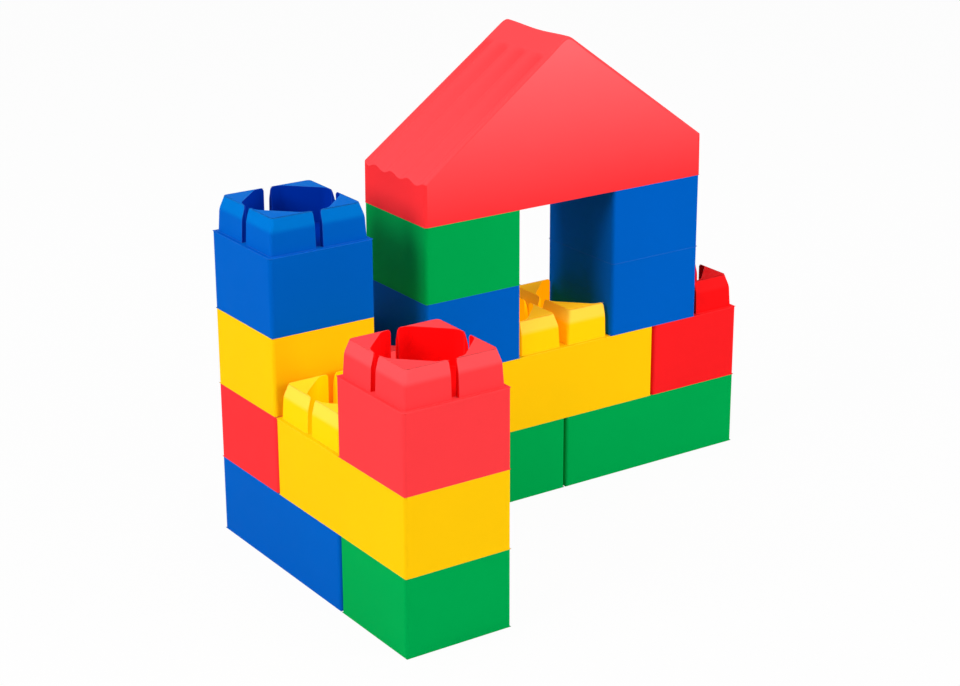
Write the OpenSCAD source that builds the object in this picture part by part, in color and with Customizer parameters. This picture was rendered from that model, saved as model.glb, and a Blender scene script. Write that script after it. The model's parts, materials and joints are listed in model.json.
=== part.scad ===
// Gateway play castle stacked from sixteen giant hollow building blocks.
// The origin lies on the floor, under the middle of the model's box.
// +X runs along the gateway wing, +Y to the back and +Z up.

/* [Block] */
// Grid pitch of the blocks
pitch = 100; // [90:1:130]
// Height of a block's body, which is one course
body_h = 68.5; // [60:0.5:90]
// Moulded wall thickness
wall = 2.6; // [2.2:0.1:3]
// Gap between the bodies of neighbouring blocks
joint_gap = 1; // [0.6:0.1:1.6]
// Radius of the upright corners of a body
corner_r = 3.5; // [2:0.1:4.5]

/* [Stud] */
// Height of a stud above the deck that carries it
stud_h = 31.5; // [28:0.5:38]
// Play between a stud and the socket that takes it
stud_play = 1.1; // [0.8:0.1:1.5]
// Height of the bevelled crown of a stud
crown_h = 11.5; // [8:0.5:14]
// How far the wall below the crown leans inwards
shoulder_lean = 0.9; // [0.4:0.1:1.4]
// How far the crown leans inwards
crown_lean = 3.2; // [2.4:0.1:4]
// Width of the bevel down each corner of a stud
stud_edge = 2.4; // [1:0.1:3]
// Play beside two walls that share a slot
slot_play = 0.3; // [0.2:0.05:0.5]
// Width of the rim on top of a stud, beside a slot
rim_w = 0.9; // [0.6:0.1:1.4]
// How much nearer the diagonal sides of a well lie than its straight sides
well_cut = 3.5; // [1:0.1:6]

/* [Roof] */
// Height that the eaves stand above the studs under them
eave_cover = 7; // [5.5:0.5:15]
// Height of the ridge above the eaves
gable_h = 107; // [85:0.5:120]
// Width of the flat along the ridge
ridge_w = 5; // [3:0.5:8]
// Number of grooves down each slope
groove_count = 4; // [2:1:4]
// Spacing of the grooves
groove_pitch = 26.3; // [22:0.1:28]
// Distance from the rear gable to the middle of the first groove
groove_rear = 6.2; // [5:0.1:10]
// Width of a groove at the face of the slope
groove_w = 18; // [12:0.5:20]
// Depth of a groove
groove_depth = 2.8; // [1.5:0.1:3.4]
// Plain band between the ridge and the grooves
groove_top = 22; // [12:1:40]
// Length over which a groove runs out to nothing
groove_runout = 10; // [6:1:20]

/* [Hidden] */
$fn = 48;

RED = "#e3242b";
YELLOW = "#ffc400";
GREEN = "#00964a";
BLUE = "#0058b4";

// One overrun serves all cuts
overrun = 1;

// Grid cells of the whole model, the rear row and the two gate pillars.
// The pillars straddle two cells, so they stand a share of a cell off the grid.
x_cell_count = 5;
y_cell_count = 3;
rear = y_cell_count - 1;
straddle_share = 0.5;
left_pillar = 1 + straddle_share;
right_pillar = 3 + straddle_share;
roof_cells = right_pillar - left_pillar + 1;

// A stud fits the socket of the block above, and a slot takes two block walls
body_inset = joint_gap / 2;
socket_inset = body_inset + wall;
stud_half = pitch / 2 - socket_inset - stud_play;
shoulder_half = stud_half - shoulder_lean;
crown_half = shoulder_half - crown_lean;
shoulder_h = stud_h - crown_h;
slot_w = 2 * (wall + slot_play) + joint_gap;
well_half = crown_half - rim_w;
well_diagonal = well_half - well_cut;

// The roof's slopes rise from eaves that clear the studs inside
roof_half = roof_cells * pitch / 2 - body_inset;
eave_h = stud_h + eave_cover;
ridge_h = eave_h + gable_h;
slope_run = roof_half - ridge_w / 2;
slope_angle = atan2(gable_h, slope_run);
slope_length = norm([gable_h, slope_run]);
slope_drop = (wall + groove_depth) / cos(slope_angle);
groove_r = (pow(groove_w / 2, 2) + pow(groove_depth, 2)) / (2 * groove_depth);
groove_offset = groove_r - groove_depth;

// Puts a block, drawn from the corner of its first cell, on the grid
module at_cell(x, y, course) {
    translate([(x - x_cell_count / 2) * pitch, (y - y_cell_count / 2) * pitch, course * body_h])
        children();
}

// Repeats a child in the middle of each cell of a block
module each_cell(nx, ny) {
    for (i = [0 : nx - 1], j = [0 : ny - 1])
        translate([(i + straddle_share) * pitch, (j + straddle_share) * pitch])
            children();
}

// Outline of a body, a rectangle with true round corners
module body_outline(nx, ny) {
    size = [nx * pitch - joint_gap, ny * pitch - joint_gap];
    translate([body_inset, body_inset]) {
        translate([corner_r, 0]) square([size.x - 2 * corner_r, size.y]);
        translate([0, corner_r]) square([size.x, size.y - 2 * corner_r]);
        for (x = [corner_r, size.x - corner_r], y = [corner_r, size.y - corner_r])
            translate([x, y]) circle(corner_r);
    }
}

// Hollow of one cell: walls on the outside, half a web towards another cell
module socket(i, j, nx, ny, height) {
    low_x = i == 0 ? socket_inset : i * pitch + wall / 2;
    low_y = j == 0 ? socket_inset : j * pitch + wall / 2;
    high_x = i == nx - 1 ? nx * pitch - socket_inset : (i + 1) * pitch - wall / 2;
    high_y = j == ny - 1 ? ny * pitch - socket_inset : (j + 1) * pitch - wall / 2;
    translate([low_x, low_y, -overrun])
        cube([high_x - low_x, high_y - low_y, height + overrun]);
}

// Profile of a stud across its flats, or across its corners when spread is sqrt(2)
module stud_profile(inset, spread, cut, foot) {
    base = (stud_half - inset) * spread - cut;
    shoulder = (shoulder_half - inset) * spread - cut;
    crown = (crown_half - inset) * spread - cut;
    polygon([
        [-base, -foot], [base, -foot], [base, 0], [shoulder, shoulder_h],
        [crown, stud_h - inset], [-crown, stud_h - inset], [-shoulder, shoulder_h], [-base, 0],
    ]);
}

// Square tower with leaning walls and a bevelled crown, shrunk all round by inset
module stud_form(inset, foot) {
    intersection_for (turn = [0, 45, 90, 135]) {
        across_corners = turn % 90 != 0;
        rotate([90, 0, turn])
            linear_extrude(2 * pitch, center = true)
                stud_profile(
                    inset,
                    across_corners ? sqrt(2) : 1,
                    across_corners ? stud_edge / 2 : 0,
                    foot
                );
    }
}

// Two crossed slots, which split a stud into four corner posts
module slots() {
    for (turn = [0, 90])
        rotate(turn) translate([-pitch / 2, -slot_w / 2, 0])
            cube([pitch, slot_w, stud_h + overrun]);
}

// Eight-sided well in a stud, down to the deck
module well() {
    side = well_diagonal * sqrt(2) - well_half;
    quarter = [[well_half, -side], [well_half, side]];
    linear_extrude(stud_h + overrun)
        polygon([
            for (turn = [0 : 90 : 270], p = quarter)
                [p.x * cos(turn) - p.y * sin(turn), p.x * sin(turn) + p.y * cos(turn)],
        ]);
}

// Hollows of the four corner posts, open from below
module post_cores() {
    reach = (well_diagonal + wall) * sqrt(2) - stud_half;
    intersection() {
        stud_form(wall, wall + overrun);
        translate([0, 0, -wall - overrun])
            linear_extrude(wall + overrun + stud_h)
                for (turn = [0 : 90 : 270])
                    rotate(turn)
                        polygon([[stud_half, stud_half], [reach, stud_half], [stud_half, reach]]);
    }
}

// One moulded block: a hollow body, a web between cells and a stud on each cell
module block(nx, ny) {
    difference() {
        union() {
            linear_extrude(body_h) body_outline(nx, ny);
            translate([0, 0, body_h])
                each_cell(nx, ny)
                    difference() {
                        stud_form(0, wall / 2);
                        slots();
                        well();
                    }
        }
        for (i = [0 : nx - 1], j = [0 : ny - 1])
            socket(i, j, nx, ny, body_h - wall);
        translate([0, 0, body_h])
            each_cell(nx, ny)
                post_cores();
    }
}

// Draws the roof's end view along its depth, with the middle of the roof at zero
module along_depth(from, to) {
    translate([roof_half + body_inset, to, 0])
        rotate([90, 0, 0])
            linear_extrude(to - from)
                children();
}

// End view of the roof's outside
module gable_outline() {
    polygon([
        [-roof_half, 0], [roof_half, 0], [roof_half, eave_h], [ridge_w / 2, ridge_h],
        [-ridge_w / 2, ridge_h], [-roof_half, eave_h],
    ]);
}

// End view of the roof's inside
module gable_hollow() {
    inner_half = roof_half - wall;
    inner_eave = eave_h + wall * tan(slope_angle) - slope_drop;
    inner_ridge = inner_eave + inner_half * tan(slope_angle);
    polygon([
        [-inner_half, -overrun], [inner_half, -overrun], [inner_half, inner_eave],
        [0, inner_ridge], [-inner_half, inner_eave],
    ]);
}

// Round groove up the left slope, which runs out below the ridge
module groove() {
    full = slope_length - groove_top - groove_runout;
    translate([body_inset, 0, eave_h])
        rotate([0, 90 - slope_angle, 0])
            translate([-groove_offset, 0, 0]) {
                translate([0, 0, -groove_r]) cylinder(r = groove_r, h = full + groove_r);
                translate([0, 0, full])
                    cylinder(r1 = groove_r, r2 = groove_offset, h = groove_runout);
            }
}

// Grooves of both slopes, counted from the rear gable
module grooves() {
    for (i = [0 : groove_count - 1])
        translate([0, pitch - body_inset - groove_rear - i * groove_pitch, 0]) {
            groove();
            translate([roof_cells * pitch, 0, 0]) mirror([1, 0, 0]) groove();
        }
}

// Hollow gabled roof with a socket for a pillar's stud at each end
module roof() {
    difference() {
        intersection() {
            linear_extrude(ridge_h) body_outline(roof_cells, 1);
            along_depth(0, pitch) gable_outline();
        }
        intersection() {
            along_depth(socket_inset, pitch - socket_inset) gable_hollow();
            for (i = [0 : roof_cells - 1])
                socket(i, 0, roof_cells, 1, ridge_h);
        }
        grooves();
    }
}

// First course, which stands on the floor
module green_corner_block() { color(GREEN) at_cell(0, 0, 0) block(1, 1); }
module blue_long_block() { color(BLUE) at_cell(0, 1, 0) block(1, 2); }
module green_inner_block() { color(GREEN) at_cell(1, rear, 0) block(2, 1); }
module green_outer_block() { color(GREEN) at_cell(3, rear, 0) block(2, 1); }

// Second course, which bridges the joints of the first
module yellow_front_block() { color(YELLOW) at_cell(0, 0, 1) block(1, 2); }
module red_long_block() { color(RED) at_cell(0, rear, 1) block(2, 1); }
module yellow_sill_block() { color(YELLOW) at_cell(2, rear, 1) block(2, 1); }
module red_end_block() { color(RED) at_cell(4, rear, 1) block(1, 1); }

// Turret and corner tower
module red_turret_block() { color(RED) at_cell(0, 0, 2) block(1, 1); }
module yellow_tower_block() { color(YELLOW) at_cell(0, rear, 2) block(1, 1); }
module blue_tower_block() { color(BLUE) at_cell(0, rear, 3) block(1, 1); }

// Gate pillars and the roof across them
module blue_left_pillar_block() { color(BLUE) at_cell(left_pillar, rear, 2) block(1, 1); }
module green_left_pillar_block() { color(GREEN) at_cell(left_pillar, rear, 3) block(1, 1); }
module blue_right_pillar_lower() { color(BLUE) at_cell(right_pillar, rear, 2) block(1, 1); }
module blue_right_pillar_upper() { color(BLUE) at_cell(right_pillar, rear, 3) block(1, 1); }
module red_roof_block() { color(RED) at_cell(left_pillar, rear, 4) roof(); }

green_corner_block();
blue_long_block();
green_inner_block();
green_outer_block();
yellow_front_block();
red_long_block();
yellow_sill_block();
red_end_block();
red_turret_block();
yellow_tower_block();
blue_tower_block();
blue_left_pillar_block();
green_left_pillar_block();
blue_right_pillar_lower();
blue_right_pillar_upper();
red_roof_block();
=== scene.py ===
"""Gateway play castle of giant moulded blocks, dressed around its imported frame."""

import json
import math
from collections import namedtuple

import bmesh
import bpy
from bpy.props import FloatProperty, FloatVectorProperty, IntProperty, PointerProperty
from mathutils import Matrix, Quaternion, Vector


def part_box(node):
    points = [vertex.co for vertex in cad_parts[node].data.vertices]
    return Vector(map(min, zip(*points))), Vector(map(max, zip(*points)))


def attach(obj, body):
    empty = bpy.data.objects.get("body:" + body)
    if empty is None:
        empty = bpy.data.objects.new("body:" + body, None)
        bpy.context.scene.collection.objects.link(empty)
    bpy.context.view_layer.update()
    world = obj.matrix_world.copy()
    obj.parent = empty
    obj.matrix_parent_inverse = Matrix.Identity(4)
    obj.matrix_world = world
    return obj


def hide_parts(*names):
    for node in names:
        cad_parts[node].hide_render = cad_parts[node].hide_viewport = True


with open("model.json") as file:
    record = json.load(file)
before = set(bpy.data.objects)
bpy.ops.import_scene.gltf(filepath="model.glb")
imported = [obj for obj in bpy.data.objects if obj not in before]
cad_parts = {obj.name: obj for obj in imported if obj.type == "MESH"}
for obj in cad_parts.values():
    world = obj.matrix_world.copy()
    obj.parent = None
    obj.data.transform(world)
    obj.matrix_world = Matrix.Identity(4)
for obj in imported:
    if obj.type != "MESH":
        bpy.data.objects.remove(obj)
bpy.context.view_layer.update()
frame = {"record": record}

bl_info = {
    "name": "Giant Block Castle",
    "version": (1, 0, 0),
    "blender": (4, 5, 0),
    "location": "View3D > Sidebar > Castle",
    "description": "Dresses a play castle of giant moulded blocks around its packed frame",
    "category": "Add Mesh",
}

# Facts of the frame
BODY_OF = {
    node: body
    for body, nodes in frame["record"]["behaviour"]["bodies"].items()
    for node in nodes
}
ROOF = "red_roof_block"
END = "red_end_block"
TURRET = "red_turret_block"
BLOCKS = sorted(node for node in BODY_OF if node != ROOF)

# A block that is this many times as long as it is wide has two cells
DOUBLE_FROM = 1.5


def node_size(node):
    """Width, depth and height of a node's box."""
    low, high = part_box(node)
    return high - low


def is_double(node):
    """True for a block that is two cells long."""
    size = node_size(node)
    return max(size.x, size.y) > DOUBLE_FROM * min(size.x, size.y)


# Blocks of one and two cells, and the sizes of the grid that they stand on
SINGLES = [node for node in BLOCKS if not is_double(node)]
DOUBLES = [node for node in BLOCKS if is_double(node)]
BLOCK = node_size(SINGLES[0])
PITCH = max(node_size(DOUBLES[0]).xy) - min(node_size(DOUBLES[0]).xy)
JOINT_GAP = PITCH - BLOCK.x
COURSE = min(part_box(node)[0].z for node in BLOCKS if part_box(node)[0].z > JOINT_GAP)

# How meshes are made: how near points weld, steps of a curve and of a rounded edge,
# and the angle from which an edge is a crease
WELD = 2e-6
CURVE_STEPS = 6
EDGE_STEPS = 3
CREASE = math.radians(25)

# Surfaces of a moulding, the share of painted glow that each gets, and the pigment that has it; the
# glow is emission that paints in light coming through thin walls and bouncing inside
OUTSIDE = ["wall", "deck", "rim", "stud", "land", "skin", "gable"]
INSIDE = ["well", "floor", "slot", "socket", "ceiling", "core", "hollow"]
SURFACES = OUTSIDE + INSIDE
PAINTED_GLOW_SHARES = {"well": 1.0, "floor": 1.0, "slot": 1.0, "land": 0.55, "stud": 0.28}
PAINTED_GLOW_PIGMENT = "yellow"

# Scale, detail and roughness of the noise in each effect, and what noise mostly stays between
NOISES = {
    "grain": (700.0, 2.0, 0.5),
    "ripple": (22.0, 1.0, 0.4),
    "scuff": (60.0, 5.0, 0.65),
    "drift": (9.0, 2.0, 0.5),
    "wear": (90.0, 4.0, 0.6),
}
NOISE_LOW = 0.3
NOISE_HIGH = 0.7

# How well two normals match where an edge begins and where it is fully handled, and how many
# are tried
EDGE_BEGINS = 0.995
EDGE_FULL = 0.9
EDGE_SAMPLES = 4

# Kinds of sockets, and the one colour that no user changes
NUMBER = "NodeSocketFloat"
COLOUR = "NodeSocketColor"
WHITE = (1.0, 1.0, 1.0, 1.0)


def setting(kind, **limits):
    """Maker of settings of one kind that a user may change."""

    def make(name, description, default):
        return kind(name=name, description=description, default=default, **limits)

    return make


# Kinds of settings, with places in the castle's frame and colours linear
length = setting(FloatProperty, min=0.0, precision=5, unit="LENGTH")
share = setting(FloatProperty, min=0.0, max=1.0, subtype="FACTOR")
colour = setting(FloatVectorProperty, min=0.0, max=1.0, size=3, subtype="COLOR")
power = setting(FloatProperty, min=0.0, unit="POWER")
place = setting(FloatVectorProperty, size=3, subtype="TRANSLATION", unit="LENGTH")
angle = setting(FloatProperty, unit="ROTATION")
focus = setting(FloatProperty, min=1.0, unit="CAMERA")
strength = setting(FloatProperty, min=0.0)
count = setting(IntProperty, min=0)


class CastleBlockSettings(bpy.types.PropertyGroup):
    """Sizes of a moulded block and its stud."""

    wall: length("Wall", "Moulded wall thickness", 0.0026)
    stud_play: length("Stud Play", "Play between a stud and the socket above it", 0.0011)
    crown_height: length("Crown Height", "Height of the leaning crown of a stud", 0.0115)
    shoulder_lean: length("Shoulder Lean", "How far the wall below the crown leans in", 0.0009)
    crown_lean: length("Crown Lean", "How far the crown leans in", 0.0032)
    shoulder_ease: length("Shoulder Ease", "Length that softens the break below the crown", 0.0025)
    slot_width: length("Slot Width", "Width of the slots across a stud", 0.0068)
    slot_flare: length("Slot Flare", "Radius that rounds the slots over at the top", 0.003)
    rim_width: length("Rim Width", "Width of the rim on top of a stud beside a slot", 0.0009)
    well_cut: length("Well Cut", "How much nearer the well's diagonal sides lie", 0.0035)
    well_ease: length("Well Ease", "Length that softens the corners of the well", 0.005)
    foot_round: length("Foot Round", "Rounding of a stud's corners at the deck", 0.0022)
    crown_round: length("Crown Round", "Rounding of a stud's corners at the top", 0.0038)
    corner_round: length("Corner Round", "Rounding of a body's upright corners", 0.0035)
    deck_round: length("Deck Round", "Rounding of a body's upper edge", 0.00025)
    base_round: length("Base Round", "Rounding of a body's lower edges", 0.00015)
    crown_edge: length("Crown Edge", "Rounding of the stud's upper outer edge", 0.00065)
    slot_edge: length("Slot Edge", "Rounding of the slots' outer edges", 0.0005)
    well_edge: length("Well Edge", "Rounding of the well's upper and slot edges", 0.0002)
    # Painted light: the crown and the land on top of a stud are paler where light from above falls on
    # them
    crown_fade: share("Crown Fade", "How faded the crown of a stud is", 0.22)
    fade_length: length("Fade Length", "Height over which the crown fades", 0.005)
    land_fade: share("Land Fade", "How faded the top of a stud is", 0.08)


class CastleRoofSettings(bpy.types.PropertyGroup):
    """Sizes of the gabled roof block."""

    eave_height: length("Eave Height", "Height of the upright wall below the slope", 0.0385)
    ridge_width: length("Ridge Width", "Width of the flat along the ridge", 0.005)
    ridge_ease: length("Ridge Ease", "Length that softens the ridge", 0.005)
    ridge_sag: length("Ridge Sag", "How far the ridge sinks in the middle", 0.0016)
    eave_ease: length("Eave Ease", "Length that softens the eave", 0.0006)
    gable_round: length("Gable Round", "Rounding of the edges of both gables", 0.0025)
    gable_lean: length("Gable Lean", "How far both gables lean in at the ridge", 0.0025)
    groove_count: count("Grooves", "Number of grooves down each slope", 4)
    groove_pitch: length("Groove Pitch", "Spacing of the grooves", 0.0263)
    groove_rear: length("Groove Rear", "Rear gable to the middle of the first groove", 0.0062)
    groove_span: length("Groove Span", "Full width of a groove between its crests", 0.0263)
    groove_depth: length("Groove Depth", "Depth of a groove", 0.0028)
    groove_rim: length("Groove Rim", "Length over which grooves rise to the gables", 0.007)
    groove_top: length("Groove Top", "Plain band between the ridge and the grooves", 0.022)
    groove_runout: length("Groove Runout", "Length over which a groove runs out", 0.0065)
    # Painted light: paler slopes, and gables paler towards the top; painted shade keeps the grooves'
    # upper ends darker
    slope_fade: share("Slope Fade", "How faded the slopes are", 0.2)
    groove_keep: share("Groove Keep", "How far the grooves' upper ends keep their colour", 0.75)
    gable_fade: share("Gable Fade", "How faded the gables are at the top", 0.7)


class CastleFinishSettings(bpy.types.PropertyGroup):
    """Colours and surface of the moulded plastic."""

    red: colour("Red", "Pigment of the red blocks", (0.93, 0.032, 0.038))
    yellow: colour("Yellow", "Pigment of the yellow blocks", (0.95, 0.55, 0.003))
    green: colour("Green", "Pigment of the green blocks", (0.0, 0.36, 0.072))
    blue: colour("Blue", "Pigment of the blue blocks", (0.0, 0.105, 0.5))
    shine: share("Shine", "Strength of reflections", 0.005)
    gloss_low: share("Smooth Roughness", "Roughness where the skin is smoothest", 0.34)
    gloss_high: share("Scuffed Roughness", "Roughness where the skin is scuffed", 0.5)
    drift: share("Pigment Drift", "How far the pigment drifts over a block", 0.035)
    # Painted shade: deeper colours inside the hollows, where light only bounces, and on the end block
    red_inner: colour("Red Inside", "Colour inside the red blocks", (0.89, 0.004, 0.005))
    yellow_inner: colour("Yellow Inside", "Colour inside the yellow blocks", (0.92, 0.4, 0.001))
    green_inner: colour("Green Inside", "Colour inside the green blocks", (0.0, 0.195, 0.015))
    blue_inner: colour("Blue Inside", "Colour inside the blue blocks", (0.0, 0.027, 0.33))
    # Colours toward which painted light turns each pigment, and the turret's even paleness
    red_faded: colour("Red Faded", "Red where it is most faded", (0.964, 0.179, 0.195))
    yellow_faded: colour("Yellow Faded", "Yellow where it is most faded", (0.975, 0.742, 0.24))
    green_faded: colour("Green Faded", "Green where it is most faded", (0.0, 0.6, 0.268))
    blue_faded: colour("Blue Faded", "Blue where it is most faded", (0.0, 0.324, 0.707))
    # Painted glow: emission colour that paints in light coming through thin yellow walls and bouncing
    # inside
    glow: colour("Glow", "Light that thin yellow walls let through", (0.72, 0.265, 0.0))
    # Painted shade: the end block, which gets less light, shows the deeper colour outside as well
    end_depth: share("End Block Depth", "How far the end block shows its inner colour outside", 0.65)
    end_stud_depth: share("End Stud Depth", "How far the end block's stud shows its inner colour", 0.9)
    turret_fade: share("Turret Fade", "How faded the turret block is all over", 0.09)
    rub: share("Edge Rub", "How far handled edges turn pale", 0.03)
    rub_reach: length("Rub Reach", "How far from an edge it is handled", 0.0012)
    grain: share("Grain", "Share of fine grain in the skin", 0.12)
    ripple: share("Ripple", "Share of slow ripples in the skin", 1.0)
    relief: share("Relief", "How strongly the skin's relief shows", 0.35)
    relief_height: length("Relief Height", "Height of the skin's relief", 0.0006)
    sheen: share("Tinted Sheen", "How far reflections take the pigment's own tint", 0.85)


class CastleStageSettings(bpy.types.PropertyGroup):
    """Camera, lamps and floor."""

    camera_place: place("Camera Place", "Where the camera stands", (-1.0502, -1.431, 0.8083))
    camera_aim: place("Camera Aim", "Point that the camera looks at", (-0.036, 0.0627, 0.155))
    camera_roll: angle("Camera Roll", "Lean of the camera", math.radians(-0.167))
    lens: focus("Lens", "Focal length of the camera", 81.73)
    top_place: place("Top Place", "Where the overhead lamp hangs", (-0.1, 0.1, 3.0))
    top_size: length("Top Size", "Side of the square overhead lamp", 2.4)
    top_power: power("Top Power", "Power of the overhead lamp", 42.0)
    left_place: place("Left Place", "Where the left lamp stands", (-2.6, 0.0, 1.6))
    left_size: length("Left Size", "Side of the square left lamp", 1.6)
    left_power: power("Left Power", "Power of the left lamp", 71.0)
    front_place: place("Front Place", "Where the front lamp stands", (2.2, -2.6, 1.2))
    front_size: length("Front Size", "Side of the square front lamp", 1.4)
    front_power: power("Front Power", "Power of the front lamp", 84.0)
    gate_place: place("Gate Place", "Where the lamp before the gate stands", (0.5, -2.8, 1.9))
    gate_size: length("Gate Size", "Side of the square lamp before the gate", 1.0)
    gate_power: power("Gate Power", "Power of the lamp before the gate", 14.0)
    sky: strength("Sky", "Light of the surroundings", 0.2)
    floor_reach: length("Floor Reach", "Half the side of the floor", 9.0)
    floor_colour: colour("Floor Colour", "Colour of the floor", (0.6, 0.6, 0.6))
    floor_white: share("Floor White", "Share of plain white in the floor that is seen", 0.965)


def eased(start, corner, end, steps=CURVE_STEPS):
    """Points of a soft corner from start to end, both included."""
    shares = [step / steps for step in range(steps + 1)]
    return [
        start * (1 - t) ** 2 + corner * (2 * t * (1 - t)) + end * t ** 2
        for t in shares
    ]


def smooth(rise):
    """A soft step from 0 to 1."""
    rise = min(max(rise, 0.0), 1.0)
    return rise * rise * (3 - 2 * rise)


def soft_corner(before, corner, after, setback):
    """Soft corner that starts and ends a setback away from it."""
    start = corner + (before - corner).normalized() * setback
    end = corner + (after - corner).normalized() * setback
    return eased(start, corner, end)


class Moulding:
    """Faces of one moulded piece, each kept with the name of its surface."""

    def __init__(self, fade_at, outer_depths):
        self.fade_at = fade_at
        # Painted shade shares: full on the inside surfaces, and what the end block gets outside
        self.depths = dict.fromkeys(INSIDE, 1.0) | outer_depths
        self.mesh = bmesh.new()
        # How far each corner turns paler: painted light on crowns, lands, slopes and gable tops, and
        # the turret's even paleness
        self.fade = self.mesh.loops.layers.float.new("fade")
        self.rounding = self.mesh.edges.layers.float.new("bevel_weight_edge")
        # Share of painted shade on each face, toward the deeper colour
        self.depth = self.mesh.faces.layers.float.new("depth")
        # Share of painted glow on each face
        self.glow = self.mesh.faces.layers.float.new("glow")
        self.surface = self.mesh.faces.layers.int.new("surface")

    def face(self, surface, points):
        """One face of a surface, through points in order, that knows how pale its corners are, mostly
        from painted light.
        """
        made = self.mesh.faces.new([self.mesh.verts.new(point) for point in points])
        made.smooth = True
        made[self.surface] = SURFACES.index(surface)
        made[self.depth] = self.depths.get(surface, 0.0)
        made[self.glow] = PAINTED_GLOW_SHARES.get(surface, 0.0)
        for corner in made.loops:
            corner[self.fade] = self.fade_at(surface, corner.vert.co)

    def close(self):
        """Welds the faces into one closed skin that faces outwards."""
        bmesh.ops.remove_doubles(self.mesh, verts=self.mesh.verts, dist=WELD)
        bmesh.ops.recalc_face_normals(self.mesh, faces=self.mesh.faces)
        if not all(edge.is_manifold for edge in self.mesh.edges):
            raise RuntimeError("a moulding has an open edge")

    def weigh_edges(self, rounding):
        """Gives edges between two surfaces their rounding, and leaves other creases sharp."""
        widths = {frozenset(pair): width for pair, width in rounding.items()}
        widest = max(widths.values())
        for edge in self.mesh.edges:
            if edge.calc_face_angle() < CREASE:
                continue
            pair = frozenset(SURFACES[face[self.surface]] for face in edge.link_faces)
            if pair in widths and edge.is_convex:
                edge[self.rounding] = widths[pair] / widest
            else:
                edge.smooth = False
        return widest

    def finish(self, node, rounding):
        """Turns the faces into a piece that stands for a node."""
        self.close()
        widest = self.weigh_edges(rounding)
        name = node + "_moulding"
        data = bpy.data.meshes.new(name)
        self.mesh.to_mesh(data)
        self.mesh.free()
        piece = bpy.data.objects.new(name, data)
        bpy.context.scene.collection.objects.link(piece)
        bevel = piece.modifiers.new("Rounded edges", "BEVEL")
        bevel.limit_method = "WEIGHT"
        bevel.width = widest
        bevel.segments = EDGE_STEPS
        bevel.use_clamp_overlap = False
        normals = piece.modifiers.new("Flat faces", "WEIGHTED_NORMAL")
        normals.keep_sharp = True
        pigment = node.split("_")[0]
        data.materials.append(plastic(pigment))
        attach(piece, BODY_OF[node])
        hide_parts(node)


# Level of a stud above the deck, with its half width, half slot and corner rounding there,
# and level of the hollow in a post, with its reach and the near end of its sides there
StudLevel = namedtuple("StudLevel", "height half slot rounding")
CoreLevel = namedtuple("CoreLevel", "height reach near")


def stud_levels(sizes):
    """Levels of a stud, from its foot to its crown."""
    stud_height = BLOCK.z - COURSE
    foot_half = BLOCK.x / 2 - sizes.wall - sizes.stud_play
    shoulder_half = foot_half - sizes.shoulder_lean
    crown_half = shoulder_half - sizes.crown_lean
    foot = Vector((foot_half, 0.0))
    shoulder = Vector((shoulder_half, stud_height - sizes.crown_height))
    crown = Vector((crown_half, stud_height))
    profile = [foot] + soft_corner(foot, shoulder, crown, sizes.shoulder_ease)
    slots = [sizes.slot_width / 2] * len(profile)
    for step in range(CURVE_STEPS + 1):
        turn = math.pi / 2 * step / CURVE_STEPS
        height = stud_height - sizes.slot_flare * (1 - math.sin(turn))
        rise = (height - shoulder.y) / sizes.crown_height
        profile.append(shoulder.lerp(crown, rise))
        slots.append(sizes.slot_width / 2 + sizes.slot_flare * (1 - math.cos(turn)))
    levels = []
    for point, slot in zip(profile, slots):
        spread = (point.y / stud_height) ** 2
        rounding = sizes.foot_round + (sizes.crown_round - sizes.foot_round) * spread
        levels.append(StudLevel(point.y, point.x, slot, rounding))
    return levels


def post_outline(level):
    """Outer side of one corner post, from one slot round the corner to the other."""
    corner = Vector((level.half, level.half))
    start = Vector((level.half, level.slot))
    end = Vector((level.slot, level.half))
    return [start] + soft_corner(start, corner, end, level.rounding) + [end]


def well_outline(sizes, crown_half):
    """One quarter of the well, from the middle of a straight side past a diagonal one."""
    half = crown_half - sizes.rim_width
    side = (half - sizes.well_cut) * math.sqrt(2) - half
    first = Vector((half, side))
    second = Vector((side, half))
    straight = Vector((half, 0.0))
    return soft_corner(straight, first, second, sizes.well_ease) + soft_corner(
        first, second, Vector((0.0, half)), sizes.well_ease
    )


def core_levels(sizes, levels, well):
    """Levels of the hollow in a post, from the ceiling to its top."""
    top = levels[-1].height
    shoulder = top - sizes.crown_height
    foot = levels[0].half - sizes.wall
    heights = [-sizes.wall, shoulder, top - sizes.wall]
    reaches = [foot, foot - sizes.shoulder_lean, foot - sizes.shoulder_lean - sizes.crown_lean]
    middle = well[len(well) // 2 - 1] + well[len(well) // 2]
    diagonal = middle.x / 2 + middle.y / 2 + sizes.wall * math.sqrt(2)
    return [CoreLevel(height, reach, diagonal - reach) for height, reach in zip(heights, reaches)]


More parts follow.
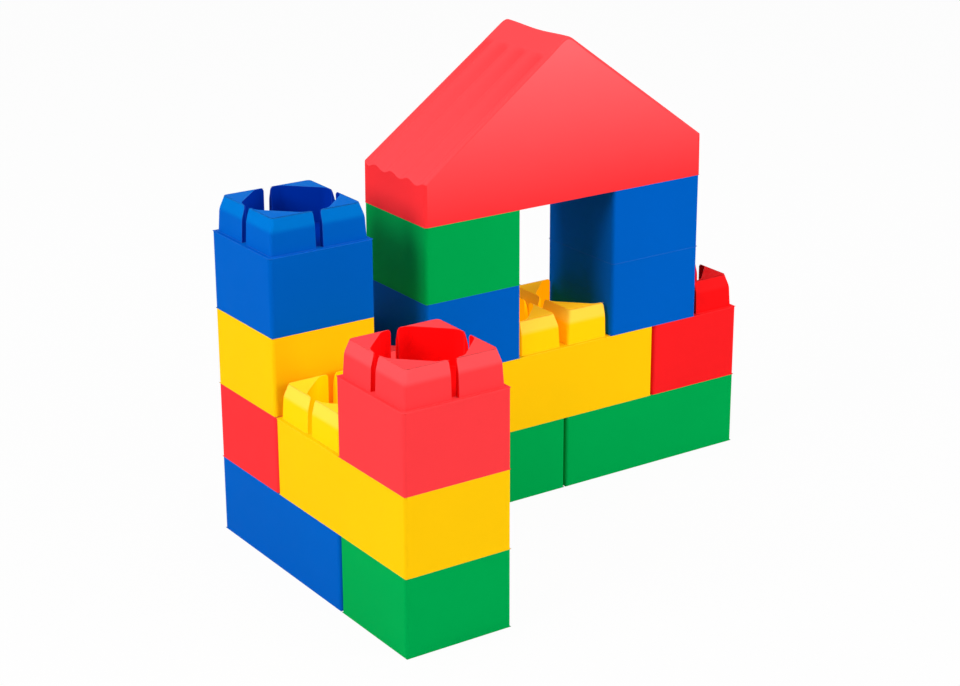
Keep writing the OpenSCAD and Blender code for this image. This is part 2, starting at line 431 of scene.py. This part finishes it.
class Cell:
    """One cell of a block: its middle, its reach to four sides and which of them are outside."""

    def __init__(self, node, column, row, columns, rows, sizes):
        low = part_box(node)[0]
        start_x = low.x - JOINT_GAP / 2 + PITCH * column
        start_y = low.y - JOINT_GAP / 2 + PITCH * row
        self.middle = Vector((start_x + PITCH / 2, start_y + PITCH / 2, low.z))
        self.outside = [column == columns - 1, row == rows - 1, column == 0, row == 0]
        inset = [JOINT_GAP / 2 if out else 0.0 for out in self.outside]
        self.reach = [PITCH / 2 - gap for gap in inset]
        webs = [sizes.wall if out else sizes.wall / 2 for out in self.outside]
        self.socket = [reach - web for reach, web in zip(self.reach, webs)]

    def point(self, turn, out, along, height):
        """A point, seen from a side: how far out, how far along to the left, and how high."""
        across = [(out, along), (-along, out), (-out, -along), (along, -out)][turn]
        return self.middle + Vector((across[0], across[1], height))

    def spans(self, turn, reaches):
        """Reaches out from a side, to the left of it and to the right."""
        return reaches[turn], reaches[(turn + 1) % 4], reaches[(turn + 3) % 4]

    def loop(self, turn, outline, height):
        """An outline's points at a height."""
        return [self.point(turn, p.x, p.y, height) for p in outline]


def mirrored(outline):
    """An outline on the other side of the middle line, in the other order."""
    return [Vector((p.x, -p.y)) for p in reversed(outline)]


def shell_faces(moulding, cell, turn, ceiling):
    """Wall, lower rim and socket side of one side of a cell."""
    out, left, right = cell.spans(turn, cell.reach)
    inner, inner_left, inner_right = cell.spans(turn, cell.socket)
    outer = [Vector((out, -right)), Vector((out, left))]
    hole = [Vector((inner, inner_left)), Vector((inner, -inner_right))]
    foot = cell.loop(turn, outer, 0.0)
    mouth = cell.loop(turn, hole, 0.0)
    if cell.outside[turn]:
        moulding.face("wall", foot + cell.loop(turn, outer[::-1], COURSE))
    moulding.face("rim", foot + mouth)
    moulding.face("socket", mouth + cell.loop(turn, hole[::-1], ceiling))


def ceiling_face(moulding, cell, turn, core, ceiling):
    """Ceiling of the socket on one side, round the hollows of two posts."""
    inner, inner_left, inner_right = cell.spans(turn, cell.socket)
    reach, near = core[0].reach, core[0].near
    middle = (reach + near) / 2
    hollow = [Vector((reach, reach)), Vector((reach, near)), Vector((middle, middle))]
    outline = [Vector((inner, -inner_right)), Vector((inner, inner_left))]
    outline += hollow + [Vector((0.0, 0.0))] + mirrored(hollow)
    moulding.face("ceiling", cell.loop(turn, outline, ceiling))


def deck_face(moulding, cell, turn, base, well, slot):
    """Deck on one side, round two posts and with the floor of the slot between them."""
    corner = base[1:-1]
    half_corner = corner[: len(corner) // 2 + 1]
    side = [Vector((well[0].x, slot)), base[0]] + half_corner
    outline = side[::-1] + mirrored(side)[::-1]
    out, left, right = cell.spans(turn, cell.reach)
    edge = [Vector((out, -right)), Vector((out, left))]
    moulding.face("deck", cell.loop(turn, edge + outline, COURSE))


def floor_face(moulding, cell, well, slot):
    """Floor of the well, level with the deck."""
    quarter = [Vector((well[0].x, -slot)), Vector((well[0].x, slot))] + well
    points = [point for turn in range(4) for point in cell.loop(turn, quarter, COURSE)]
    moulding.face("floor", points)


def well_faces(moulding, cell, turn, well, levels):
    """Straight side of the well on both sides of its slot, and the curved sides after it."""
    top = COURSE + levels[-1].height
    near = well[0]
    notch = [levels[0]] + levels[-CURVE_STEPS - 1:]
    for hand in (1, -1):
        edge = [cell.point(turn, near.x, hand * step.slot, COURSE + step.height) for step in notch]
        foot = cell.point(turn, near.x, hand * near.y, COURSE)
        head = cell.point(turn, near.x, hand * near.y, top)
        moulding.face("well", edge + [head, foot])
    low = cell.loop(turn, well, COURSE)
    high = cell.loop(turn, well, top)
    for i in range(len(well) - 1):
        moulding.face("well", [low[i], low[i + 1], high[i + 1], high[i]])


def post_faces(moulding, cell, turn, well, levels):
    """Outside, slot sides and top of the corner post between two sides."""
    loops = [cell.loop(turn, post_outline(level), COURSE + level.height) for level in levels]
    for lower, upper in zip(loops, loops[1:]):
        for i in range(len(lower) - 1):
            moulding.face("stud", [lower[i], lower[i + 1], upper[i + 1], upper[i]])
    straight = len(levels) - CURVE_STEPS
    near = well[0].x
    first = [cell.point(turn, near, level.slot, COURSE + level.height) for level in levels]
    second = [cell.point(turn, level.slot, near, COURSE + level.height) for level in levels]
    for end, inner in ((0, first), (-1, second)):
        outer = [loop[end] for loop in loops]
        moulding.face("slot", [inner[0]] + outer[:straight] + [inner[straight - 1]])
        for i in range(straight - 1, len(levels) - 1):
            moulding.face("slot", [inner[i], outer[i], outer[i + 1], inner[i + 1]])
    top = [first[-1]] + cell.loop(turn, well, COURSE + levels[-1].height) + [second[-1]]
    moulding.face("land", loops[-1] + top[::-1])


def core_faces(moulding, cell, turn, core):
    """Hollow of the corner post between two sides."""
    rings = []
    for height, reach, near in core:
        outline = [Vector((reach, near)), Vector((reach, reach)), Vector((near, reach))]
        rings.append(cell.loop(turn, outline, COURSE + height))
    for number, (lower, upper) in enumerate(zip(rings, rings[1:])):
        for i in range(len(lower)):
            after = (i + 1) % len(lower)
            foot = [lower[i], lower[after]]
            # The ceiling has a point in the middle of the hollow's near edge
            if number == 0 and after == 0:
                foot.insert(1, (lower[i] + lower[after]) / 2)
            moulding.face("core", foot + [upper[after], upper[i]])
    moulding.face("core", rings[-1])


def block_rounding(sizes):
    """Rounding of each convex edge of a block, by the two surfaces that meet there."""
    return {
        ("wall", "wall"): sizes.corner_round,
        ("deck", "wall"): sizes.deck_round,
        ("rim", "wall"): sizes.base_round,
        ("rim", "socket"): sizes.base_round,
        ("land", "stud"): sizes.crown_edge,
        ("slot", "stud"): sizes.slot_edge,
        ("slot", "well"): sizes.well_edge,
        ("land", "well"): sizes.well_edge,
        ("ceiling", "core"): sizes.well_edge,
    }


class BlockTone:
    """Where a block is paler from painted light, and how far its outer surfaces show the deeper colour
    of painted shade.
    """

    def __init__(self, node, sizes):
        finish = bpy.context.scene.castle_finish
        self.sizes = sizes
        self.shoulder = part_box(node)[1].z - sizes.crown_height
        self.outer_fade = finish.turret_fade if node == TURRET else 0.0
        self.outer_depths = {}
        # Painted shade: the end block, in less light, shows the deeper colour outside too
        if node == END:
            self.outer_depths = dict.fromkeys(OUTSIDE, finish.end_depth)
            self.outer_depths |= dict.fromkeys(("stud", "land"), finish.end_stud_depth)

    def fade_at(self, surface, point):
        """How pale the block is at a point: painted light on its crowns most, then on the lands on
        top, and the turret evenly paler.
        """
        kept = 1 - self.outer_depths.get(surface, 0.0)
        if surface == "land":
            return self.outer_fade + self.sizes.land_fade * kept
        if surface == "stud":
            rise = (point.z - self.shoulder + self.sizes.shoulder_ease) / self.sizes.fade_length
            return self.outer_fade + self.sizes.crown_fade * smooth(rise) * kept
        return self.outer_fade if surface in OUTSIDE else 0.0


def make_block(node, sizes):
    """One block: a hollow body with a slotted stud and a well on every cell."""
    size = node_size(node)
    columns = round(size.x / PITCH)
    rows = round(size.y / PITCH)
    levels = stud_levels(sizes)
    well = well_outline(sizes, levels[-1].half)
    core = core_levels(sizes, levels, well)
    base = post_outline(levels[0])
    slot = levels[0].slot
    ceiling = COURSE - sizes.wall
    tone = BlockTone(node, sizes)
    moulding = Moulding(tone.fade_at, tone.outer_depths)
    for column in range(columns):
        for row in range(rows):
            cell = Cell(node, column, row, columns, rows, sizes)
            floor_face(moulding, cell, well, slot)
            for turn in range(4):
                shell_faces(moulding, cell, turn, ceiling)
                ceiling_face(moulding, cell, turn, core, ceiling)
                deck_face(moulding, cell, turn, base, well, slot)
                well_faces(moulding, cell, turn, well, levels)
                post_faces(moulding, cell, turn, well, levels)
                core_faces(moulding, cell, turn, core)
    moulding.finish(node, block_rounding(sizes))


class RoofForm:
    """Outside of the roof: its end view at any depth, with grooves and rounded gables."""

    # Steps up the plain slope, where a groove runs out and across a groove, and how fast
    # the painted shade at a groove's upper end falls off down the slope
    STRAIGHT_STEPS = 8
    RUNOUT_STEPS = 8
    GROOVE_STEPS = 14
    SHELTER_POWER = 3

    def __init__(self, roof):
        low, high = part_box(ROOF)
        self.roof = roof
        self.middle = Vector(((low.x + high.x) / 2, low.y, low.z))
        self.half = (high.x - low.x) / 2
        self.depth = high.y - low.y
        self.top = high.z - low.z
        run = self.half - roof.ridge_width / 2
        rise = self.top - roof.eave_height
        self.slope = math.atan2(rise, run)
        self.slope_length = math.hypot(run, rise)
        self.along = Vector((math.cos(self.slope), math.sin(self.slope)))
        self.inward = Vector((math.sin(self.slope), -math.cos(self.slope)))

    def point(self, across, depth, height):
        """A point in the castle's frame, drawn in by the gables' lean."""
        lean = self.roof.gable_lean * height / self.top
        return self.middle + Vector((across, depth + lean * (1 - 2 * depth / self.depth), height))

    def fade_at(self, surface, point):
        """How pale the roof is at a point: painted light on the gables more towards the top, and on
        the slopes evenly, less at the grooves' upper ends.
        """
        if surface == "gable":
            return self.roof.gable_fade * (point.z - self.middle.z) / self.top
        if surface == "skin":
            return self.roof.slope_fade * (1 - self.roof.groove_keep * self.shelter(point))
        return 0.0

    def shelter(self, point):
        """How much painted shade a point of a slope gets: most at the upper end of a groove."""
        offset = point - self.middle
        rise = Vector((self.half - abs(offset.x), offset.z - self.roof.eave_height))
        distance = max(rise.dot(self.along), 0.0)
        height = distance / self.slope_length
        return self.groove_share(offset.y) * self.runout(distance) * height ** self.SHELTER_POWER

    def groove_share(self, depth):
        """Share of the grooves' full depth at a depth from the front gable."""
        dip = 0.0
        for number in range(self.roof.groove_count):
            middle = self.depth - self.roof.groove_rear - number * self.roof.groove_pitch
            offset = abs(depth - middle) / self.roof.groove_span
            if offset < 0.5:
                dip += math.cos(math.pi * offset) ** 2
        rim = min(depth, self.depth - depth, self.roof.groove_rim) / self.roof.groove_rim
        return dip * smooth(rim)

    def runout(self, distance):
        """Share of a groove's depth at a distance up the slope."""
        end = self.slope_length - self.roof.groove_top
        return smooth((end - distance) / self.roof.groove_runout)

    def slope_distances(self):
        """Distances up a slope to the points that draw it, closer where grooves run out."""
        runout = self.roof.groove_runout
        straight = self.slope_length - self.roof.groove_top - runout
        low = [straight * (i + 1) / self.STRAIGHT_STEPS for i in range(self.STRAIGHT_STEPS)]
        high = [straight + runout * (i + 1) / self.RUNOUT_STEPS for i in range(self.RUNOUT_STEPS)]
        return low + high

    def half_profile(self, depth, inset):
        """Left half of the end view, from the foot to the middle of the ridge."""
        roof = self.roof
        dip = roof.groove_depth * self.groove_share(depth)
        edge = Vector((-self.half, roof.eave_height))
        foot = Vector((-self.half + inset, 0.0))
        drop = (inset + dip) / math.cos(self.slope) - inset * math.tan(self.slope)
        eave = Vector((foot.x, roof.eave_height - drop))
        slope = [
            edge + self.along * distance + self.inward * (inset + dip * self.runout(distance))
            for distance in self.slope_distances()
        ]
        sag = roof.ridge_sag * math.sin(math.pi * depth / self.depth) ** 2
        crest = Vector((0.0, self.top - inset - sag))
        ridge = Vector((-roof.ridge_width / 2, crest.y))
        start = ridge - self.along * roof.ridge_ease
        return (
            [foot]
            + soft_corner(foot, eave, slope[0], roof.eave_ease)
            + slope
            + eased(start, ridge, crest)
        )

    def stations(self, wall):
        """Depths of the end views, each with its inset for the rounded gables."""
        rounding = self.roof.gable_round
        ends = []
        for step in range(CURVE_STEPS + 1):
            turn = math.pi / 2 * step / CURVE_STEPS
            ends.append((rounding * (1 - math.cos(turn)), rounding * (1 - math.sin(turn))))
        steps = round((self.depth - 2 * wall) / (self.roof.groove_span / self.GROOVE_STEPS))
        inner = [
            (wall + (self.depth - 2 * wall) * step / steps, 0.0) for step in range(steps + 1)
        ]
        back = [(self.depth - depth, inset) for depth, inset in reversed(ends)]
        return ends + inner + back


def roof_skin(moulding, form, stations):
    """Outside of the roof, with its two gables."""
    loops = []
    for depth, inset in stations:
        left = form.half_profile(depth, inset)
        right = [Vector((-p.x, p.y)) for p in reversed(left[:-1])]
        loops.append([form.point(p.x, depth, p.y) for p in left + right])
    last = len(loops[0]) - 2
    for front, back in zip(loops, loops[1:]):
        for i in range(last + 1):
            surface = "wall" if i in (0, last) else "skin"
            moulding.face(surface, [front[i], front[i + 1], back[i + 1], back[i]])
    moulding.face("gable", loops[0])
    moulding.face("gable", loops[-1])


def roof_rim(moulding, form, stations, mouths, wall):
    """Lower rim of the roof, round the mouths of its hollows."""
    left = [form.point(inset - form.half, depth, 0.0) for depth, inset in stations]
    right = [form.point(form.half - inset, depth, 0.0) for depth, inset in stations]
    ends = [x for mouth in mouths for x in mouth]
    front = [form.point(x, wall, 0.0) for x in ends]
    back = [form.point(x, form.depth - wall, 0.0) for x in ends]
    first = CURVE_STEPS + 1
    last = len(stations) - CURVE_STEPS - 2
    moulding.face("rim", left[first::-1] + right[: first + 1] + front[::-1])
    moulding.face("rim", left[last:] + right[: last - 1: -1] + back[::-1])
    moulding.face("rim", left[first: last + 1] + [back[0], front[0]])
    moulding.face("rim", right[first: last + 1] + [back[-1], front[-1]])
    for i in range(1, len(ends) - 1, 2):
        moulding.face("rim", [front[i], front[i + 1], back[i + 1], back[i]])


def roof_hollow(moulding, form, low, high, wall):
    """One hollow under the roof, from one side wall or web to the next."""
    drop = (wall + form.roof.groove_depth) / math.cos(form.slope)
    eave = form.roof.eave_height + form.half * math.tan(form.slope) - drop
    crossings = [low] + ([0.0] if low < 0 < high else []) + [high]
    line = [Vector((x, eave - abs(x) * math.tan(form.slope))) for x in crossings]
    outline = [Vector((low, 0.0))] + line + [Vector((high, 0.0))]
    front = [form.point(p.x, wall, p.y) for p in outline]
    back = [form.point(p.x, form.depth - wall, p.y) for p in outline]
    moulding.face("hollow", front)
    moulding.face("hollow", back)
    for i in range(len(outline) - 1):
        moulding.face("hollow", [front[i], front[i + 1], back[i + 1], back[i]])


def make_roof(sizes, roof):
    """The roof block: a grooved shell on two sockets, with a hollow between them."""
    form = RoofForm(roof)
    stations = form.stations(sizes.wall)
    web = sizes.wall / 2
    cells = round(node_size(ROOF).x / PITCH)
    start = -cells * PITCH / 2
    walls = [start + PITCH * i for i in range(cells + 1)]
    mouths = [[low + web, high - web] for low, high in zip(walls, walls[1:])]
    mouths[0][0] = sizes.wall - form.half
    mouths[-1][1] = form.half - sizes.wall
    moulding = Moulding(form.fade_at, {})
    roof_skin(moulding, form, stations)
    roof_rim(moulding, form, stations, mouths, sizes.wall)
    for low, high in mouths:
        roof_hollow(moulding, form, low, high, sizes.wall)
    rounding = {(surface, "rim"): sizes.base_round for surface in ("wall", "gable", "hollow")}
    moulding.finish(ROOF, rounding)


def opaque(tone):
    """A colour with full alpha, as a socket wants it."""
    return tuple(tone) + (1.0,)


def set_input(tree, socket, value):
    """Links a socket from another one, or gives it a plain value."""
    if isinstance(value, bpy.types.NodeSocket):
        tree.links.new(value, socket)
    else:
        socket.default_value = value


def add_math(tree, operation, *terms):
    """Result of an operation on sockets and plain numbers."""
    node = tree.nodes.new("ShaderNodeMath")
    node.operation = operation
    for socket, term in zip(node.inputs, terms):
        set_input(tree, socket, term)
    return node.outputs["Value"]


def add_blend(tree, amount, below, above):
    """Colour that goes from one below to one above by an amount."""
    node = tree.nodes.new("ShaderNodeMix")
    node.data_type = "RGBA"
    for label, value in (("Factor", amount), ("A", below), ("B", above)):
        set_input(tree, node.inputs[label], value)
    return node.outputs["Result"]


def add_range(tree, value, start, end, low, high):
    """A value that goes from low to high while the given one goes from start to end."""
    node = tree.nodes.new("ShaderNodeMapRange")
    labels = ("Value", "From Min", "From Max", "To Min", "To Max")
    for label, given in zip(labels, (value, start, end, low, high)):
        set_input(tree, node.inputs[label], given)
    return node.outputs["Result"]


def add_layer(tree, layer):
    """A layer of the mesh, as a value."""
    node = tree.nodes.new("ShaderNodeAttribute")
    node.attribute_name = layer
    return node.outputs["Fac"]


def add_noise(tree, effect):
    """Noise of an effect over the piece, as it lies in the castle's frame."""
    where = tree.nodes.new("ShaderNodeTexCoord")
    noise = tree.nodes.new("ShaderNodeTexNoise")
    for label, value in zip(("Scale", "Detail", "Roughness"), NOISES[effect]):
        noise.inputs[label].default_value = value
    tree.links.new(where.outputs["Object"], noise.inputs["Vector"])
    return noise.outputs["Fac"]


def start_group(name, inputs, outputs):
    """An empty shader group with named sockets, with what it is given and what it makes."""
    group = bpy.data.node_groups.new(name, "ShaderNodeTree")
    for label, kind in inputs.items():
        group.interface.new_socket(label, in_out="INPUT", socket_type=kind)
    for label, kind in outputs.items():
        group.interface.new_socket(label, in_out="OUTPUT", socket_type=kind)
    given = group.nodes.new("NodeGroupInput").outputs
    made = group.nodes.new("NodeGroupOutput").inputs
    return group, given, made


def place_group(tree, group, **values):
    """Puts a shader group into a material with its own values, and gives what it makes."""
    node = tree.nodes.new("ShaderNodeGroup")
    node.node_tree = group
    for label, value in values.items():
        set_input(tree, node.inputs[label], value)
    return node.outputs


def skin_group():
    """Height of a moulded skin, a fine grain over slow ripples, and its scuffs."""
    name = "Moulded skin"
    if name in bpy.data.node_groups:
        return bpy.data.node_groups[name]
    inputs = {"Grain": NUMBER, "Ripple": NUMBER}
    group, given, made = start_group(name, inputs, {"Height": NUMBER, "Scuff": NUMBER})
    fine = add_math(group, "MULTIPLY", add_noise(group, "grain"), given["Grain"])
    height = add_math(group, "MULTIPLY_ADD", add_noise(group, "ripple"), given["Ripple"], fine)
    group.links.new(height, made["Height"])
    group.links.new(add_noise(group, "scuff"), made["Scuff"])
    return group


def pigment_group():
    """Pigment deepened by painted shade inside, paler with painted light on top and pale on rubbed
    edges.
    """
    name = "Moulded pigment"
    if name in bpy.data.node_groups:
        return bpy.data.node_groups[name]
    inputs = dict.fromkeys(("Pigment", "Inner", "Faded"), COLOUR)
    inputs |= dict.fromkeys(("Drift", "Rub", "Edge"), NUMBER)
    group, given, made = start_group(name, inputs, {"Colour": COLOUR})
    # Painted shade: deeper colour inside the hollows and on the end block
    painted_shade_colour = add_blend(group, add_layer(group, "depth"), given["Pigment"], given["Inner"])
    # Painted light on crowns, lands, slopes and gable tops, and the turret's even paleness
    pale_lit = add_blend(group, add_layer(group, "fade"), painted_shade_colour, given["Faded"])
    darkest = add_math(group, "SUBTRACT", 1.0, given["Drift"])
    drift = add_range(group, add_noise(group, "drift"), NOISE_LOW, NOISE_HIGH, 1.0, darkest)
    shade = group.nodes.new("ShaderNodeHueSaturation")
    group.links.new(pale_lit, shade.inputs["Color"])
    group.links.new(drift, shade.inputs["Value"])
    rubbed = add_math(group, "MULTIPLY", given["Rub"], given["Edge"])
    group.links.new(add_blend(group, rubbed, shade.outputs["Color"], WHITE), made["Colour"])
    return group


def edge_group():
    """Mask of the handled edges, where the normal turns within a small distance."""
    name = "Handled edges"
    if name in bpy.data.node_groups:
        return bpy.data.node_groups[name]
    group, given, made = start_group(name, {"Reach": NUMBER}, {"Edge": NUMBER})
    bevel = group.nodes.new("ShaderNodeBevel")
    bevel.samples = EDGE_SAMPLES
    group.links.new(given["Reach"], bevel.inputs["Radius"])
    surface = group.nodes.new("ShaderNodeNewGeometry")
    match = group.nodes.new("ShaderNodeVectorMath")
    match.operation = "DOT_PRODUCT"
    group.links.new(bevel.outputs["Normal"], match.inputs[0])
    group.links.new(surface.outputs["Normal"], match.inputs[1])
    edge = add_range(group, match.outputs["Value"], EDGE_BEGINS, EDGE_FULL, 0.0, 1.0)
    group.links.new(add_math(group, "MULTIPLY", edge, add_noise(group, "wear")), made["Edge"])
    return group


def add_painted_glow(tree, shader, light):
    """Painted glow: emission that stands in for light coming through thin walls, by the share that
    each surface gets.
    """
    glow = tree.nodes.new("ShaderNodeVectorMath")
    glow.operation = "SCALE"
    glow.inputs["Vector"].default_value = light
    tree.links.new(add_layer(tree, "glow"), glow.inputs["Scale"])
    tree.links.new(glow.outputs["Vector"], shader.inputs["Emission Color"])
    shader.inputs["Emission Strength"].default_value = 1.0


def plastic(pigment):
    """Moulded plastic of one colour, made once."""
    name = "Moulded " + pigment
    if name in bpy.data.materials:
        return bpy.data.materials[name]
    finish = bpy.context.scene.castle_finish
    tint = getattr(finish, pigment)
    sheen = [1 - finish.sheen * (1 - part / max(tint)) for part in tint]
    material = bpy.data.materials.new(name)
    material.use_nodes = True
    material.diffuse_color = opaque(tint)
    tree = material.node_tree
    shader = tree.nodes["Principled BSDF"]
    shader.inputs["Specular IOR Level"].default_value = finish.shine
    shader.inputs["Specular Tint"].default_value = opaque(sheen)
    skin = place_group(tree, skin_group(), Grain=finish.grain, Ripple=finish.ripple)
    edges = place_group(tree, edge_group(), Reach=finish.rub_reach)
    tones = place_group(
        tree,
        pigment_group(),
        Pigment=opaque(tint),
        Inner=opaque(getattr(finish, pigment + "_inner")),
        Faded=opaque(getattr(finish, pigment + "_faded")),
        Drift=finish.drift,
        Rub=finish.rub,
        Edge=edges["Edge"],
    )
    tree.links.new(tones["Colour"], shader.inputs["Base Color"])
    gloss = add_range(
        tree, skin["Scuff"], NOISE_LOW, NOISE_HIGH, finish.gloss_low, finish.gloss_high
    )
    tree.links.new(gloss, shader.inputs["Roughness"])
    relief = tree.nodes.new("ShaderNodeBump")
    relief.inputs["Strength"].default_value = finish.relief
    relief.inputs["Distance"].default_value = finish.relief_height
    tree.links.new(skin["Height"], relief.inputs["Height"])
    tree.links.new(relief.outputs["Normal"], shader.inputs["Normal"])
    # The yellow blocks get the painted glow
    if pigment == PAINTED_GLOW_PIGMENT:
        add_painted_glow(tree, shader, finish.glow)
    return material


def seen_rays(tree):
    """One where a ray comes from the camera, a reflection or a clear piece."""
    path = tree.nodes.new("ShaderNodeLightPath").outputs
    seen = add_math(tree, "MAXIMUM", path["Is Camera Ray"], path["Is Glossy Ray"])
    return add_math(tree, "MAXIMUM", seen, path["Is Transmission Ray"])


def show_blend(tree, output, amount, lit, white):
    """Ends a tree in a lit shader that turns to a white one by an amount."""
    mix = tree.nodes.new("ShaderNodeMixShader")
    tree.links.new(amount, mix.inputs["Fac"])
    tree.links.new(lit, mix.inputs[1])
    tree.links.new(white, mix.inputs[2])
    tree.links.new(mix.outputs["Shader"], tree.nodes[output].inputs["Surface"])


def make_floor(stage):
    """A plain pale floor that keeps a faint shadow."""
    reach = stage.floor_reach
    corners = [(-reach, -reach, 0.0), (reach, -reach, 0.0), (reach, reach, 0.0), (-reach, reach, 0.0)]
    data = bpy.data.meshes.new("floor")
    data.from_pydata(corners, [], [(0, 1, 2, 3)])
    floor = bpy.data.objects.new("floor", data)
    bpy.context.scene.collection.objects.link(floor)
    material = bpy.data.materials.new("Pale floor")
    material.use_nodes = True
    data.materials.append(material)
    tree = material.node_tree
    matt = tree.nodes["Principled BSDF"]
    matt.inputs["Base Color"].default_value = opaque(stage.floor_colour)
    matt.inputs["Roughness"].default_value = 1.0
    matt.inputs["Specular IOR Level"].default_value = 0.0
    white = tree.nodes.new("ShaderNodeEmission")
    amount = add_math(tree, "MULTIPLY", seen_rays(tree), stage.floor_white)
    show_blend(tree, "Material Output", amount, matt.outputs["BSDF"], white.outputs["Emission"])


def make_sky(stage):
    """Even light all round, seen as white."""
    world = bpy.data.worlds.new("Studio")
    world.use_nodes = True
    bpy.context.scene.world = world
    tree = world.node_tree
    light = tree.nodes["Background"]
    light.inputs["Color"].default_value = WHITE
    light.inputs["Strength"].default_value = stage.sky
    white = tree.nodes.new("ShaderNodeBackground")
    white.inputs["Color"].default_value = WHITE
    lit = light.outputs["Background"]
    show_blend(tree, "World Output", seen_rays(tree), lit, white.outputs["Background"])


def make_lamp(side, stage):
    """A square soft lamp on one side, pointed at the object."""
    data = bpy.data.lights.new(side + " lamp", "AREA")
    data.size = getattr(stage, side + "_size")
    data.energy = getattr(stage, side + "_power")
    lamp = bpy.data.objects.new(side + "_lamp", data)
    lamp.location = getattr(stage, side + "_place")
    aim = Vector(stage.camera_aim) - lamp.location
    lamp.rotation_mode = "QUATERNION"
    lamp.rotation_quaternion = aim.to_track_quat("-Z", "Y")
    bpy.context.scene.collection.objects.link(lamp)


def make_camera(stage):
    """The camera at the photograph's viewing angle."""
    data = bpy.data.cameras.new("camera")
    data.lens = stage.lens
    camera = bpy.data.objects.new("camera", data)
    camera.location = stage.camera_place
    camera.rotation_mode = "QUATERNION"
    view = Vector(stage.camera_aim) - Vector(stage.camera_place)
    lean = Quaternion((0.0, 0.0, 1.0), stage.camera_roll)
    camera.rotation_quaternion = view.to_track_quat("-Z", "Y") @ lean
    bpy.context.scene.collection.objects.link(camera)
    bpy.context.scene.camera = camera


class CASTLE_OT_stage(bpy.types.Operator):
    """Makes the camera, the lamps, the sky and the floor"""

    bl_idname = "castle.stage"
    bl_label = "Stage"

    def execute(self, context):
        stage = context.scene.castle_stage
        context.scene.view_settings.view_transform = "Standard"
        make_camera(stage)
        make_sky(stage)
        make_floor(stage)
        for side in ("top", "left", "front", "gate"):
            make_lamp(side, stage)
        return {"FINISHED"}


class CASTLE_OT_single_blocks(bpy.types.Operator):
    """Makes the blocks of one cell"""

    bl_idname = "castle.single_blocks"
    bl_label = "Single Blocks"

    def execute(self, context):
        for node in SINGLES:
            make_block(node, context.scene.castle_block)
        return {"FINISHED"}


class CASTLE_OT_double_blocks(bpy.types.Operator):
    """Makes the blocks of two cells"""

    bl_idname = "castle.double_blocks"
    bl_label = "Double Blocks"

    def execute(self, context):
        for node in DOUBLES:
            make_block(node, context.scene.castle_block)
        return {"FINISHED"}


class CASTLE_OT_roof_block(bpy.types.Operator):
    """Makes the gabled roof block"""

    bl_idname = "castle.roof_block"
    bl_label = "Roof Block"

    def execute(self, context):
        make_roof(context.scene.castle_block, context.scene.castle_roof)
        return {"FINISHED"}


class CASTLE_PT_panel(bpy.types.Panel):
    """Lists what the castle is made of"""

    bl_idname = "CASTLE_PT_panel"
    bl_label = "Giant Block Castle"
    bl_space_type = "VIEW_3D"
    bl_region_type = "UI"
    bl_category = "Castle"

    def draw(self, context):
        for name, settings in SETTINGS.items():
            box = self.layout.box()
            for value in settings.__annotations__:
                box.prop(getattr(context.scene, name), value)
        for operator in OPERATORS:
            self.layout.operator(operator.bl_idname)


SETTINGS = {
    "castle_block": CastleBlockSettings,
    "castle_roof": CastleRoofSettings,
    "castle_finish": CastleFinishSettings,
    "castle_stage": CastleStageSettings,
}
OPERATORS = (CASTLE_OT_stage, CASTLE_OT_single_blocks, CASTLE_OT_double_blocks, CASTLE_OT_roof_block)


def register():
    """Registers the settings, the operators and the panel."""
    for name, settings in SETTINGS.items():
        bpy.utils.register_class(settings)
        setattr(bpy.types.Scene, name, PointerProperty(type=settings))
    for operator in OPERATORS:
        bpy.utils.register_class(operator)
    bpy.utils.register_class(CASTLE_PT_panel)


def unregister():
    """Takes the panel, the operators and the settings out again."""
    bpy.utils.unregister_class(CASTLE_PT_panel)
    for operator in reversed(OPERATORS):
        bpy.utils.unregister_class(operator)
    for name, settings in reversed(SETTINGS.items()):
        delattr(bpy.types.Scene, name)
        bpy.utils.unregister_class(settings)


def main():
    """Makes the stage and every block."""
    register()
    bpy.ops.castle.stage()
    bpy.ops.castle.single_blocks()
    bpy.ops.castle.double_blocks()
    bpy.ops.castle.roof_block()


if __name__ == "__main__":
    main()
